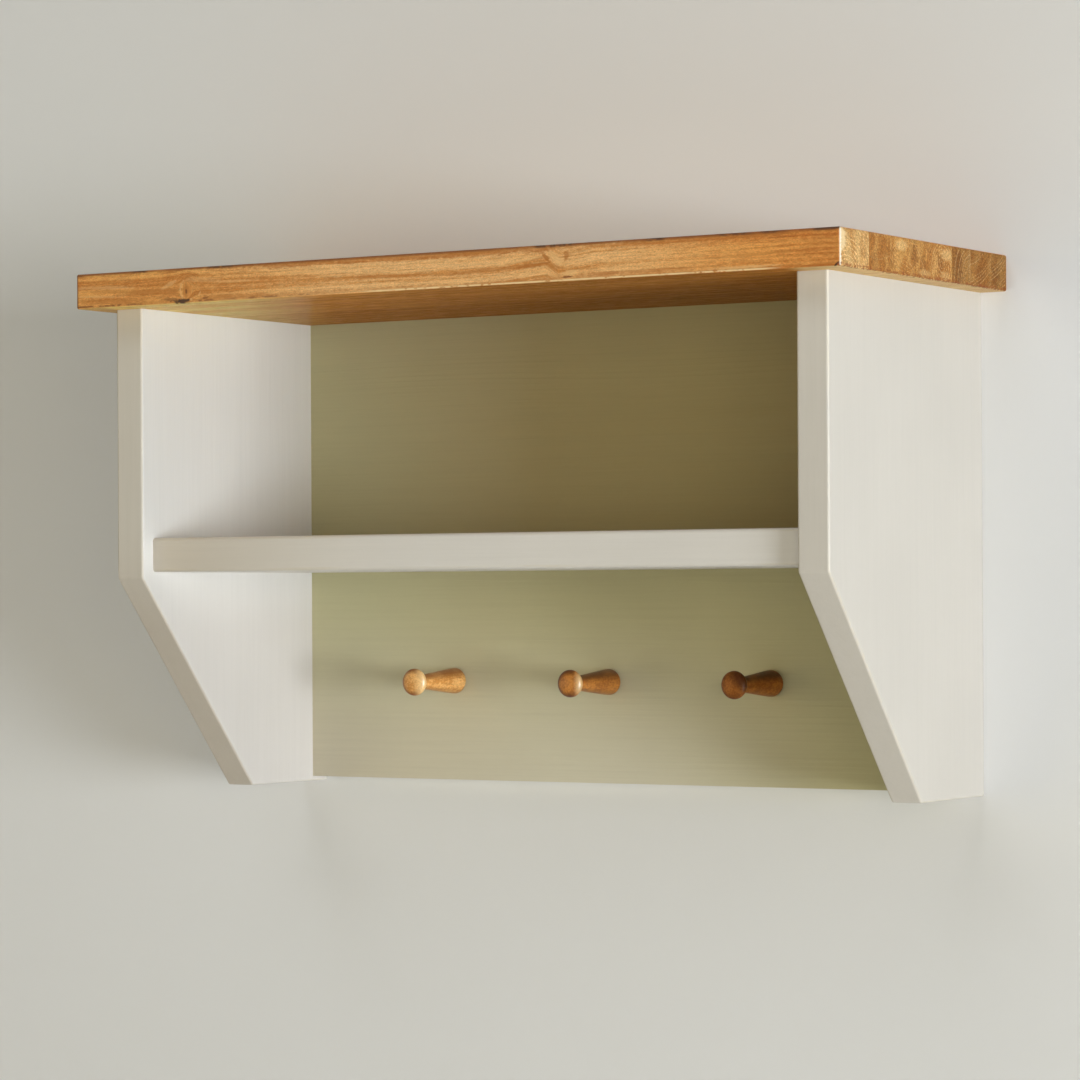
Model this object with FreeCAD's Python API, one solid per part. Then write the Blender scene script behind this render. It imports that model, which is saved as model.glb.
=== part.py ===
# Wall shelf with a row of turned pegs: two shaped sides, a back panel and a shelf, all painted,
# under an overhanging top board that is glued up from waxed pine staves.
import FreeCAD, Part
import math
import os

from FreeCAD import Vector

# Lengths are in millimetres. X runs to the right along the wall, Y runs into the wall, Z is up.
# Heights count from the foot of the sides. The finished pieces are then shifted, so that the
# origin lies on the wall, midway between the two holes that the wall screws enter.

# Carcass
carcass_width = 634.0
carcass_height = 382.0
carcass_depth = 250.0
board_thickness = 25.5
foot_depth = 105.3
crank_height = 169.6
crank_rounding = 5.0
foot_rounding = 2.5
board_arris = 2.0

# Top board
top_thickness = 27.5
top_end_overhang = 21.5
top_front_overhang = 23.0
top_arris = 1.6
# widths of the glued staves, from the front edge to the wall, as shares of the board's depth
stave_width_share = (0.162, 0.121, 0.118, 0.129, 0.121, 0.117, 0.131, 0.101)

# Back panel
back_thickness = 21.0
back_foot_gap = 4.0

# Shelf
shelf_thickness = 27.0
shelf_top_height = 201.4
shelf_setback = 13.0
shelf_arris = 3.0

# Peg row and the turned peg, measured along its axis from the back panel's front face
peg_names = ("left", "centre", "right")
peg_pitch = 147.0
peg_row_height = 85.0
peg_tenon_radius = 6.0
peg_tenon_length = 14.0
peg_tenon_tip = 1.0
peg_foot_radius = 8.2
peg_swell_radius = 10.4
peg_swell_place = 2.8
peg_neck_radius = 5.4
peg_head_radius = 10.9
peg_head_place = 61.5
peg_head_back = 4.6
peg_head_front = 5.2
# the stem's outline leaves the swell straight to the first place and reaches the neck from the
# second, at the second radius
peg_stem_first_place = 9.0
peg_stem_second_place = 38.0
peg_stem_second_radius = 6.6
# how far a curve's inner points stand towards the corner of a quarter oval
oval_share = 0.5523

# Dowels and their holes
dowel_radius = 4.0
dowel_length = 36.0
dowel_tip = 1.0
dowel_depth_in_side = 14.0
dowel_depth_in_top = 15.0
dowels_per_joint = 3
# where the outermost dowels of a row stand, as a share of the joint's length from its middle
dowel_spread_share = 0.36

# Screws through the back panel into the shelf
shelf_screw_radius = 2.0
shelf_screw_head_radius = 4.0
shelf_screw_head_height = 2.6
shelf_screw_length = 50.0
shelf_screw_tip = 5.0
shelf_screw_count = 3
shelf_screw_spread_share = 0.4

# Keyhole hanger plates, let in flush with the rear of the back panel. Their entry holes are set
# in from the sides' inner faces and down from the top board.
hanger_inset = 91.5
hanger_drop = 62.0
plate_thickness = 2.0
plate_width = 22.0
plate_reach_down = 24.0
plate_reach_up = 32.0
entry_radius = 5.0
slot_radius = 2.6
slot_rise = 11.0
pocket_radius = 6.5
pocket_depth = 8.0
plate_screw_edge = 7.0
plate_screw_radius = 1.5
plate_screw_head_radius = 2.9
plate_screw_head_height = 1.5
plate_screw_length = 14.0
plate_screw_tip = 3.0

# Cross recess in a screw head, as shares of the head's radius
recess_reach_share = 0.6
recess_width_share = 0.22
recess_depth_share = 0.45

# Clearances
glue_gap = 0.15
hole_end_gap = 1.0
screw_hole_gap = 0.25
pilot_gap = 0.05
head_sink = 0.3
plate_gap = 0.3
cut_overrun = 5.0

# Places that follow from the sizes above
inner_half = carcass_width / 2 - board_thickness
outer_half = carcass_width / 2
top_length = carcass_width + 2 * top_end_overhang
top_depth = carcass_depth + top_front_overhang
shelf_front = carcass_depth - shelf_setback
shelf_underside = shelf_top_height - shelf_thickness
shelf_middle = shelf_top_height - shelf_thickness / 2
hanger_height = carcass_height - hanger_drop
up = Vector(0, 0, 1)
right = Vector(1, 0, 0)
into_wall = Vector(0, 1, 0)


def block(x_low, x_high, y_low, y_high, z_low, z_high):
    """A box between two corners."""
    size = (x_high - x_low, y_high - y_low, z_high - z_low)
    return Part.makeBox(*size, Vector(x_low, y_low, z_low))


def rod(radius, start, end):
    """A round bar from one point to another."""
    way = end - start
    return Part.makeCylinder(radius, way.Length, start, way)


def line(start, end):
    """A straight edge between two points of a turned outline, each given as (radius, place)."""
    return Part.makeLine(Vector(start[0], 0, start[1]), Vector(end[0], 0, end[1]))


def curve(*points):
    """A smooth edge of a turned outline that its inner points pull, given as (radius, place)."""
    bezier = Part.BezierCurve()
    bezier.setPoles([Vector(radius, 0, place) for radius, place in points])
    return bezier.toShape()


def quarter_oval(start, corner, end):
    """A quarter of an oval between two points of a turned outline, bulging to a corner."""
    inner = [
        tuple(near + oval_share * (far - near) for near, far in zip(point, corner))
        for point in (start, end)
    ]
    return curve(start, *inner, end)


def turned(edges, foot, way):
    """The solid that an outline sweeps about its axis, with the axis laid from foot along way."""
    solid = Part.Face(Part.Wire(edges)).revolve(Vector(), up, math.degrees(math.tau))
    solid.Placement = FreeCAD.Placement(foot, FreeCAD.Rotation(up, way))
    return solid


def spread(count, reach):
    """Evenly spaced places from -reach to reach."""
    return [reach * (2 * index + 1 - count) / max(count - 1, 1) for index in range(count)]


def rounded(solid, radius, chosen):
    """The solid with a roundover on each edge that the test picks."""
    return solid.makeFillet(radius, [edge for edge in solid.Edges if chosen(edge)])


def along_x_at_front(edge):
    """Whether an edge of the shelf runs along its front."""
    box = edge.BoundBox
    return abs(box.YMax + shelf_front) < shelf_arris and box.XLength > inner_half


def softened_corner(before, corner, after, radius):
    """The two ends of an arc of the given radius in a corner, and the arc's middle."""
    back = (before - corner).normalize()
    ahead = (after - corner).normalize()
    half_turn = back.getAngle(ahead) / 2
    start = corner + back * (radius / math.tan(half_turn))
    end = corner + ahead * (radius / math.tan(half_turn))
    centre = corner + (back + ahead).normalize() * (radius / math.sin(half_turn))
    middle = centre + (corner - centre).normalize() * radius
    return start, middle, end


def dowel_places():
    """Middle point and direction of every dowel, by joint."""
    places = {}
    rear_reach = dowel_spread_share * (carcass_depth - back_thickness)
    rear_middle = -(carcass_depth + back_thickness) / 2
    shelf_reach = dowel_spread_share * (shelf_front - back_thickness)
    shelf_centre = -(shelf_front + back_thickness) / 2
    back_height = carcass_height - back_foot_gap
    back_centre = back_foot_gap + back_height / 2
    top_shift = dowel_depth_in_top - dowel_length / 2
    side_shift = dowel_depth_in_side - dowel_length / 2
    for name, sign in (("left", -1), ("right", 1)):
        board_x = sign * (outer_half - board_thickness / 2)
        seam_x = sign * (inner_half + side_shift)
        places["side_to_top_dowels_" + name] = [
            (Vector(board_x, rear_middle + step, carcass_height + top_shift), up)
            for step in spread(dowels_per_joint, rear_reach)
        ]
        places["shelf_dowels_" + name] = [
            (Vector(seam_x, shelf_centre + step, shelf_middle), right)
            for step in spread(dowels_per_joint, shelf_reach)
        ]
        places["back_panel_dowels_" + name] = [
            (Vector(seam_x, -back_thickness / 2, back_centre + step), right)
            for step in spread(dowels_per_joint, dowel_spread_share * back_height)
        ]
    places["back_panel_to_top_dowels"] = [
        (Vector(step, -back_thickness / 2, carcass_height + top_shift), up)
        for step in spread(dowels_per_joint, dowel_spread_share * 2 * inner_half)
    ]
    return places


def dowel(middle, way):
    """A round wooden dowel with bevelled ends."""
    inner = dowel_radius - dowel_tip
    points = [
        (0, 0),
        (inner, 0),
        (dowel_radius, dowel_tip),
        (dowel_radius, dowel_length - dowel_tip),
        (inner, dowel_length),
        (0, dowel_length),
    ]
    edges = [line(start, end) for start, end in zip(points, points[1:] + points[:1])]
    return turned(edges, middle - way * (dowel_length / 2), way)


def dowel_hole(middle, way):
    """The hole that a dowel is glued into, through both boards."""
    half = dowel_length / 2 + hole_end_gap
    return rod(dowel_radius + glue_gap, middle - way * half, middle + way * half)


def dowel_holes(places, *joints):
    """The holes of the named joints."""
    return [dowel_hole(*place) for joint in joints for place in places[joint]]


def cross_recess(head_radius):
    """The cross-shaped recess of a screw head, sunk from the origin against the screw's way."""
    reach = head_radius * recess_reach_share
    width = head_radius * recess_width_share
    depth = head_radius * recess_depth_share
    slot = block(-reach, reach, -width / 2, width / 2, -cut_overrun, depth)
    return slot.fuse(block(-width / 2, width / 2, -reach, reach, -cut_overrun, depth))


def screw(head, way, shank_radius, head_radius, head_height, length, tip):
    """A countersunk wood screw whose head's outer face is centred on the point head."""
    points = [
        (0, 0),
        (head_radius, 0),
        (shank_radius, head_height),
        (shank_radius, length - tip),
        (0, length),
    ]
    edges = [line(start, end) for start, end in zip(points, points[1:] + points[:1])]
    recess = cross_recess(head_radius)
    recess.Placement = FreeCAD.Placement(head, FreeCAD.Rotation(up, way))
    return turned(edges, head, way).cut(recess)


def countersunk_hole(mouth, way, shank_radius, head_radius, head_height, depth):
    """A clearance hole from a surface, with a cone that seats the screw's head below it."""
    gap = screw_hole_gap
    slope = (head_radius - shank_radius) / head_height
    cone_depth = head_height + head_sink
    wide = shank_radius + slope * cone_depth + gap
    points = [
        (0, -cut_overrun),
        (wide, -cut_overrun),
        (wide, 0),
        (shank_radius + gap, cone_depth),
        (shank_radius + gap, depth),
        (0, depth),
    ]
    edges = [line(start, end) for start, end in zip(points, points[1:] + points[:1])]
    return turned(edges, mouth, way)


def shelf_screw_places():
    """Where the screws through the back panel start, at the panel's rear face."""
    reach = shelf_screw_spread_share * 2 * inner_half
    return [Vector(step, 0, shelf_middle) for step in spread(shelf_screw_count, reach)]


def shelf_screws():
    """The screws through the back panel into the shelf's rear edge."""
    return [
        screw(
            place - into_wall * head_sink,
            -into_wall,
            shelf_screw_radius,
            shelf_screw_head_radius,
            shelf_screw_head_height,
            shelf_screw_length,
            shelf_screw_tip,
        )
        for place in shelf_screw_places()
    ]


def hanger_centres():
    """The entry holes' centres on the wall plane, by side."""
    reach = inner_half - hanger_inset
    return {
        "left": Vector(-reach, 0, hanger_height),
        "right": Vector(reach, 0, hanger_height),
    }


def plate_screw_places(centre):
    """Centres of the two screw holes of a hanger plate, on the wall plane."""
    low = plate_reach_down - plate_screw_edge
    high = plate_reach_up - plate_screw_edge
    return [centre - up * low, centre + up * high]


def plate_blank(centre, grow, depth):
    """A hanger plate's outline, grown all round and sunk from the wall plane to a depth."""
    half = plate_width / 2 + grow
    low = centre.z - plate_reach_down - grow
    high = centre.z + plate_reach_up + grow
    blank = block(centre.x - half, centre.x + half, -depth, 0, low, high)
    corners = [edge for edge in blank.Edges if edge.BoundBox.YLength > depth / 2]
    return blank.makeFillet(plate_screw_edge + grow, corners)


def slotted(centre, radius, rise, near, far):
    """A straight slot with round ends, from centre up by rise, between two depths."""
    start = centre - into_wall * near
    end = centre - into_wall * far
    lower = rod(radius, start, end)
    upper = rod(radius, start + up * rise, end + up * rise)
    channel = block(
        centre.x - radius, centre.x + radius, -far, -near, centre.z, centre.z + rise
    )
    return lower.fuse([upper, channel])


def hanger_plate(centre):
    """A steel keyhole plate: the screw head enters below, and its shank rises in the slot."""
    plate = plate_blank(centre, 0, plate_thickness)
    far = plate_thickness + cut_overrun
    entry = rod(entry_radius, centre + into_wall * cut_overrun, centre - into_wall * far)
    cuts = [entry, slotted(centre, slot_radius, slot_rise, -cut_overrun, far)]
    for place in plate_screw_places(centre):
        cuts.append(
            countersunk_hole(
                place,
                -into_wall,
                plate_screw_radius,
                plate_screw_head_radius,
                plate_screw_head_height,
                far,
            )
        )
    return plate.cut(cuts)


def plate_screws(centre):
    """The two small screws that hold a hanger plate."""
    return [
        screw(
            place - into_wall * head_sink,
            -into_wall,
            plate_screw_radius,
            plate_screw_head_radius,
            plate_screw_head_height,
            plate_screw_length,
            plate_screw_tip,
        )
        for place in plate_screw_places(centre)
    ]


def hanger_cuts(centre):
    """What is cut out of the back panel for a hanger plate, a wall screw's head and its screws."""
    cuts = [plate_blank(centre, plate_gap, plate_thickness)]
    floor = plate_thickness + pocket_depth
    cuts.append(slotted(centre, pocket_radius, slot_rise, 0, floor))
    for place in plate_screw_places(centre):
        end = place - into_wall * (plate_screw_length + head_sink + hole_end_gap)
        cuts.append(rod(plate_screw_radius + pilot_gap, place, end))
    return cuts


def side_panel(sign, name, places):
    """A side: a board with an upright front above the crank and a slanted one below it."""
    foot = Vector(0, 0, 0)
    head = Vector(0, 0, carcass_height)
    front_top = Vector(0, -carcass_depth, carcass_height)
    crank = Vector(0, -carcass_depth, crank_height)
    toe = Vector(0, -foot_depth, 0)
    crank_arc = softened_corner(front_top, crank, toe, crank_rounding)
    toe_arc = softened_corner(crank, toe, foot, foot_rounding)
    outline = Part.Wire(
        [
            Part.makeLine(foot, head),
            Part.makeLine(head, front_top),
            Part.makeLine(front_top, crank_arc[0]),
            Part.Arc(*crank_arc).toShape(),
            Part.makeLine(crank_arc[2], toe_arc[0]),
            Part.Arc(*toe_arc).toShape(),
            Part.makeLine(toe_arc[2], foot),
        ]
    )
    board = Part.Face(outline).extrude(right * board_thickness)
    board.translate(right * (-outer_half if sign < 0 else inner_half))

    def shows(edge):
        """Whether an edge lies on the front, the slant or the foot, along a broad face."""
        box = edge.BoundBox
        at_top = box.ZMin > carcass_height - board_arris
        at_wall = box.YMin > -board_arris
        return box.XLength < board_arris and not at_top and not at_wall

    board = rounded(board, board_arris, shows)
    joints = ("side_to_top_dowels_", "shelf_dowels_", "back_panel_dowels_")
    return board.cut(dowel_holes(places, *(joint + name for joint in joints)))


def top_staves(places):
    """The top board, rounded as a whole, drilled from below and parted at its glue lines."""
    board = block(
        -top_length / 2,
        top_length / 2,
        -top_depth,
        0,
        carcass_height,
        carcass_height + top_thickness,
    )
    board = board.makeFillet(top_arris, board.Edges)
    joints = ("side_to_top_dowels_left", "side_to_top_dowels_right", "back_panel_to_top_dowels")
    board = board.cut(dowel_holes(places, *joints))
    staves = {}
    front = -top_depth
    reach = top_length / 2 + cut_overrun
    low = carcass_height - cut_overrun
    high = carcass_height + top_thickness + cut_overrun
    for index, share in enumerate(stave_width_share, start=1):
        rear = front + share / sum(stave_width_share) * top_depth
        slab = block(-reach, reach, front, rear, low, high)
        staves[f"top_board_stave_{index}"] = board.common(slab)
        front = rear
    return staves


def shelf(places):
    """The shelf between the sides, with its front arrises rounded."""
    board = block(
        -inner_half,
        inner_half,
        -shelf_front,
        -back_thickness,
        shelf_underside,
        shelf_top_height,
    )
    board = rounded(board, shelf_arris, along_x_at_front)
    board = board.cut(dowel_holes(places, "shelf_dowels_left", "shelf_dowels_right"))
    depth = shelf_screw_length + head_sink + hole_end_gap
    radius = shelf_screw_radius + pilot_gap
    pilots = [rod(radius, place, place - into_wall * depth) for place in shelf_screw_places()]
    return board.cut(pilots)


def peg_places():
    """Where the pegs' axes meet the back panel's front face, by peg."""
    count = len(peg_names)
    steps = spread(count, peg_pitch * (count - 1) / 2)
    return {
        name: Vector(step, -back_thickness, peg_row_height)
        for name, step in zip(peg_names, steps)
    }


def back_panel(places):
    """The back panel with the holes for its dowels, pegs and screws and the hanger pockets."""
    board = block(
        -inner_half, inner_half, -back_thickness, 0, back_foot_gap, carcass_height
    )
    joints = ("back_panel_dowels_left", "back_panel_dowels_right", "back_panel_to_top_dowels")
    cuts = dowel_holes(places, *joints)
    tenon_depth = peg_tenon_length + hole_end_gap
    for place in peg_places().values():
        mouth = place - into_wall * cut_overrun
        cuts.append(rod(peg_tenon_radius + glue_gap, mouth, place + into_wall * tenon_depth))
    for place in shelf_screw_places():
        cuts.append(
            countersunk_hole(
                place,
                -into_wall,
                shelf_screw_radius,
                shelf_screw_head_radius,
                shelf_screw_head_height,
                back_thickness + cut_overrun,
            )
        )
    for centre in hanger_centres().values():
        cuts += hanger_cuts(centre)
    return board.cut(cuts)


def peg(place):
    """A turned peg: tenon, swelling foot, tapered stem and a flattened mushroom head."""
    neck_place = peg_head_place - peg_head_back
    tip_place = peg_head_place + peg_head_front
    tenon_end = (peg_tenon_radius - peg_tenon_tip, -peg_tenon_length)
    tenon_edge = (peg_tenon_radius, peg_tenon_tip - peg_tenon_length)
    foot = (peg_foot_radius, 0)
    swell = (peg_swell_radius, peg_swell_place)
    neck = (peg_neck_radius, neck_place)
    rim = (peg_head_radius, peg_head_place)
    first = (peg_swell_radius, peg_stem_first_place)
    second = (peg_stem_second_radius, peg_stem_second_place)
    edges = [
        line((0, -peg_tenon_length), tenon_end),
        line(tenon_end, tenon_edge),
        line(tenon_edge, (peg_tenon_radius, 0)),
        line((peg_tenon_radius, 0), foot),
        quarter_oval(foot, (peg_swell_radius, 0), swell),
        curve(swell, first, second, neck),
        quarter_oval(neck, (peg_head_radius, neck_place), rim),
        quarter_oval(rim, (peg_head_radius, tip_place), (0, tip_place)),
        line((0, tip_place), (0, -peg_tenon_length)),
    ]
    return turned(edges, place, -into_wall)


def build():
    """Every piece by name, each a list of solids, with heights from the foot of the sides."""
    places = dowel_places()
    pieces = {name: [stave] for name, stave in top_staves(places).items()}
    pieces["left_side_panel"] = [side_panel(-1, "left", places)]
    pieces["right_side_panel"] = [side_panel(1, "right", places)]
    pieces["back_panel"] = [back_panel(places)]
    pieces["shelf"] = [shelf(places)]
    for name, place in peg_places().items():
        pieces["peg_" + name] = [peg(place)]
    for joint, joint_places in places.items():
        pieces[joint] = [dowel(*place) for place in joint_places]
    pieces["shelf_screws"] = shelf_screws()
    for name, centre in hanger_centres().items():
        pieces["hanger_plate_" + name] = [hanger_plate(centre)]
        pieces["hanger_plate_screws_" + name] = plate_screws(centre)
    return pieces


def main():
    """Shift each piece to the hanging origin and write it to a file of its own."""
    os.makedirs("parts", exist_ok=True)
    for name, solids in build().items():
        group = Part.makeCompound(solids) if len(solids) > 1 else solids[0]
        group.translate(-up * hanger_height)
        assert group.isValid(), name
        group.exportStep(f"parts/{name}.step")
        print(name, len(group.Solids), round(group.Volume))


main()
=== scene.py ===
# Wall shelf of painted pine with three turned pegs, under a top board of waxed pine staves.
# Metres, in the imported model's frame: X to the right along the wall, Y into the wall, Z up.
import math

import bpy
from mathutils import Matrix, Vector


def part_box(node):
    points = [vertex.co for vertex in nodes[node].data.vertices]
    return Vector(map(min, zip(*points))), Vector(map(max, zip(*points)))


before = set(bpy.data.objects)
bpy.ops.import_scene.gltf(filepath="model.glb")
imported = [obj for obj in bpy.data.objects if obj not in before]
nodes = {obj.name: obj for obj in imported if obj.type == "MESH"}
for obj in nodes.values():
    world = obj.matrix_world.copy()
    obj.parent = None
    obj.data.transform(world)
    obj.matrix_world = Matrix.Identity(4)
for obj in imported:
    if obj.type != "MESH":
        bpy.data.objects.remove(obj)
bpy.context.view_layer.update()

# numbers of the axes
X, Y, Z = range(3)

top_low, top_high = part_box("top_board_stave_1")
side_low, side_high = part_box("right_side_panel")
shelf_low, shelf_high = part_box("shelf")
FRONT = top_low.y
UNDERSIDE = top_low.z
TOP = top_high.z
LEFT_END = top_low.x
RIGHT_END = top_high.x
BACK_PANEL_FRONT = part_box("back_panel")[0].y
# the sides slant back below this height above their foot, to this depth at the foot
CRANK_HEIGHT = 0.1696
FOOT_DEPTH = 0.1053


class Shader:
    """A procedural material put together from short calls. What a call is given is a number, a
    tuple or another call's output."""

    def __init__(self, name, colour, roughness, **surface):
        self.material = bpy.data.materials.new(name)
        self.material.use_nodes = True
        self.tree = self.material.node_tree
        self.surface = self.tree.nodes["Principled BSDF"]
        self.surface.inputs["Base Color"].default_value = (*colour, 1)
        self.surface.inputs["Roughness"].default_value = roughness
        for key, value in surface.items():
            self.surface.inputs[key.replace("_", " ")].default_value = value
        coordinates = self.tree.nodes.new("ShaderNodeTexCoord")
        self.place = coordinates.outputs["Object"]
        self.facing = coordinates.outputs["Normal"]

    def node(self, kind, inputs, **settings):
        made = self.tree.nodes.new(kind)
        for key, value in settings.items():
            setattr(made, key, value)
        for key, value in inputs.items():
            if isinstance(value, bpy.types.NodeSocket):
                self.tree.links.new(value, made.inputs[key])
            else:
                made.inputs[key].default_value = value
        return made

    def calc(self, operation, *values):
        return self.node("ShaderNodeMath", dict(enumerate(values)), operation=operation).outputs[0]

    def fold(self, operation, values):
        """One operation, taken through all values in turn."""
        total = values[0]
        for value in values[1:]:
            total = self.calc(operation, total, value)
        return total

    def add(self, *values):
        return self.fold("ADD", values)

    def times(self, *values):
        return self.fold("MULTIPLY", values)

    def least(self, *values):
        return self.fold("MINIMUM", values)

    def most(self, *values):
        return self.fold("MAXIMUM", values)

    def minus(self, first, second):
        return self.calc("SUBTRACT", first, second)

    def over(self, first, second):
        return self.calc("DIVIDE", first, second)

    def size(self, value):
        """The value without its sign."""
        return self.calc("ABSOLUTE", value)

    def rest(self, share):
        """What a share leaves of 1."""
        return self.minus(1.0, share)

    def limit(self, value):
        """The value, kept from 0 to 1."""
        return self.least(self.most(value, 0.0), 1.0)

    def reach(self, *values):
        """Length of a vector given by its parts."""
        return self.calc("SQRT", self.add(*(self.times(value, value) for value in values)))

    def split(self, vector):
        return self.node("ShaderNodeSeparateXYZ", {0: vector}).outputs

    def join(self, x, y, z):
        return self.node("ShaderNodeCombineXYZ", {0: x, 1: y, 2: z}).outputs[0]

    def stretch(self, vector, scale, shift):
        """The vector, multiplied axis by axis and moved."""
        inputs = {0: vector, 1: scale, 2: shift}
        return self.node("ShaderNodeVectorMath", inputs, operation="MULTIPLY_ADD").outputs[0]

    def noise(self, scale, shift=0.0, detail=2.0, roughness=0.5, place=None):
        """Noise from 0 to 1, about 0.5, with its own scale along each axis."""
        scale = scale if isinstance(scale, tuple) else (scale, scale, scale)
        start = self.place if place is None else place
        moved = self.stretch(start, scale, (shift, 1.7 * shift, -0.6 * shift))
        inputs = {"Vector": moved, "Scale": 1.0, "Detail": detail, "Roughness": roughness}
        return self.node("ShaderNodeTexNoise", inputs).outputs[0]

    def swing(self, noise, amount):
        """Noise, moved to lie about 0, times an amount."""
        return self.times(self.minus(noise, 0.5), amount)

    def fade(self, value, start, end, low=0.0, high=1.0):
        """A smooth step from low to high as the value goes from start to end."""
        inputs = {0: value, 1: start, 2: end, 3: low, 4: high}
        return self.node("ShaderNodeMapRange", inputs, interpolation_type="SMOOTHSTEP").outputs[0]

    def fall(self, value, start, end, high=1.0):
        """A smooth step down to 0."""
        return self.fade(value, start, end, high, 0.0)

    def window(self, value, start, end, soft):
        """1 between start and end, with soft flanks."""
        rise = self.fade(value, start - soft, start + soft)
        return self.times(rise, self.fall(value, end - soft, end + soft))

    def mix(self, share, first, second, blend="MIX"):
        """The first colour where the share is 0, the second where it is 1."""
        inputs = {0: share}
        for key, value in ((6, first), (7, second)):
            inputs[key] = value if isinstance(value, bpy.types.NodeSocket) else (*value, 1)
        return self.node("ShaderNodeMix", inputs, data_type="RGBA", blend_type=blend).outputs[2]

    def shade(self, colour, factor):
        """The colour, multiplied by a number."""
        inputs = {0: colour, "Scale": factor}
        return self.node("ShaderNodeVectorMath", inputs, operation="SCALE").outputs[0]

    def bump(self, height, distance, strength):
        """Height from 0 to 1 over a distance in metres."""
        inputs = {"Height": height, "Distance": distance, "Strength": strength}
        made = self.node("ShaderNodeBump", inputs)
        self.tree.links.new(made.outputs[0], self.surface.inputs["Normal"])

    def finish(self, **sockets):
        for key, value in sockets.items():
            self.tree.links.new(value, self.surface.inputs[key.replace("_", " ")])
        return self.material


def grain(axis, lengthwise, crosswise):
    """Noise scale of wood whose grain runs along an axis."""
    scale = [crosswise] * 3
    scale[axis] = lengthwise
    return tuple(scale)


def growth_rings(s, place, along, pith, width, wander, shift, raggedness=0.2):
    """Ring phase of wood that grew along an axis, and the share of dark late wood in each ring."""
    drift = s.noise(grain(along, 2.6, 24.0), shift, detail=1.0, place=place)
    offsets = (s.swing(drift, wander), s.swing(drift, -0.7 * wander))
    parts = s.split(place)
    across = [parts[axis] for axis in (X, Y, Z) if axis != along]
    bent = []
    for part, offset, middle in zip(across, offsets, pith):
        bent.append(s.minus(s.add(part, offset), middle))
    jagged = s.noise(grain(along, 9.0, 420.0), shift + 3.1, detail=1.0, place=place)
    phase = s.add(s.over(s.reach(*bent), width), s.swing(jagged, raggedness))
    turn = s.calc("FRACT", phase)
    late = s.times(s.fade(turn, 0.34, 0.86), s.fall(turn, 0.93, 1.0))
    return phase, late


def ring_strength(s, phase, shift):
    """A different weight for each ring."""
    number = s.calc("FLOOR", phase)
    made = s.node("ShaderNodeTexWhiteNoise", {"W": s.add(number, shift)}, noise_dimensions="1D")
    return made.outputs[0]


# wax, stain and wear on the staves, in linear colour
STRAW = (0.86, 0.525, 0.220)
AMBER = (0.45, 0.150, 0.024)
UMBER = (0.17, 0.050, 0.011)
SOOT = (0.052, 0.021, 0.008)
SMUDGE = (0.066, 0.027, 0.010)
RUST = (0.24, 0.060, 0.014)
DARK_END = (0.13, 0.042, 0.012)
RUBBED_WAX = (0.97, 0.74, 0.40)
BLEACHED = (0.80, 0.62, 0.35)
BLEACHED_LINE = (0.88, 0.80, 0.66)
WAX_LIGHT = (0.83, 0.410, 0.112)
WAX_DARK = (0.53, 0.182, 0.031)
PALE_WAX_LIGHT = (0.90, 0.535, 0.230)
PALE_WAX_DARK = (0.64, 0.275, 0.068)
RIGHT_TINT = (0.97, 0.87, 0.74)
# the underside; its lighter part, a painted reflection of the lit left side at the left front and painted
# light at the right end; and its two overhanging ends, the right one painted lit and the left one painted
# shaded
BELOW_LIGHT = (0.61, 0.260, 0.052)
BELOW_DARK = (0.44, 0.142, 0.022)
LIT_BELOW_LIGHT = (0.77, 0.590, 0.195)
LIT_BELOW_DARK = (0.70, 0.390, 0.088)
LIT_BELOW_RIGHT_END = (0.88, 0.64, 0.36)
SHADED_BELOW_LEFT_END = (0.50, 0.21, 0.055)
# end grain: ground of the front stave and of the others, light and dark, then stains and lines
FRONT_END_GROUND = ((0.64, 0.385, 0.148), (0.49, 0.232, 0.060))
END_GROUND = ((0.62, 0.320, 0.088), (0.39, 0.138, 0.020))
END_STAIN = (0.26, 0.090, 0.014)
END_PALE = (0.86, 0.56, 0.230)
END_LINES = (0.86, 0.58, 0.26)
END_WARM = (0.52, 0.20, 0.030)

# noise scales along X, Y and Z
DOTS = (230.0, 300.0, 620.0)
GAPS = (34.0, 60.0, 30.0)
MARK_EDGES = (300.0, 90.0, 620.0)
LINE_DOTS = (400.0, 330.0, 600.0)
END_PATCHES = (40.0, 85.0, 60.0)

# the knot of the front stave: place along and up, half size along and up, depth of its stain, how
# pale the arc at its left is, and how far it bends the lines, in half sizes
KNOT_X = -0.2300
KNOT_Z = 0.0720
KNOT_HALF_X = 0.0043
KNOT_HALF_Z = 0.0052
KNOT_DEPTH = 0.60
KNOT_ARC = 0.60
KNOT_SPREAD = 1.2
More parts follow.
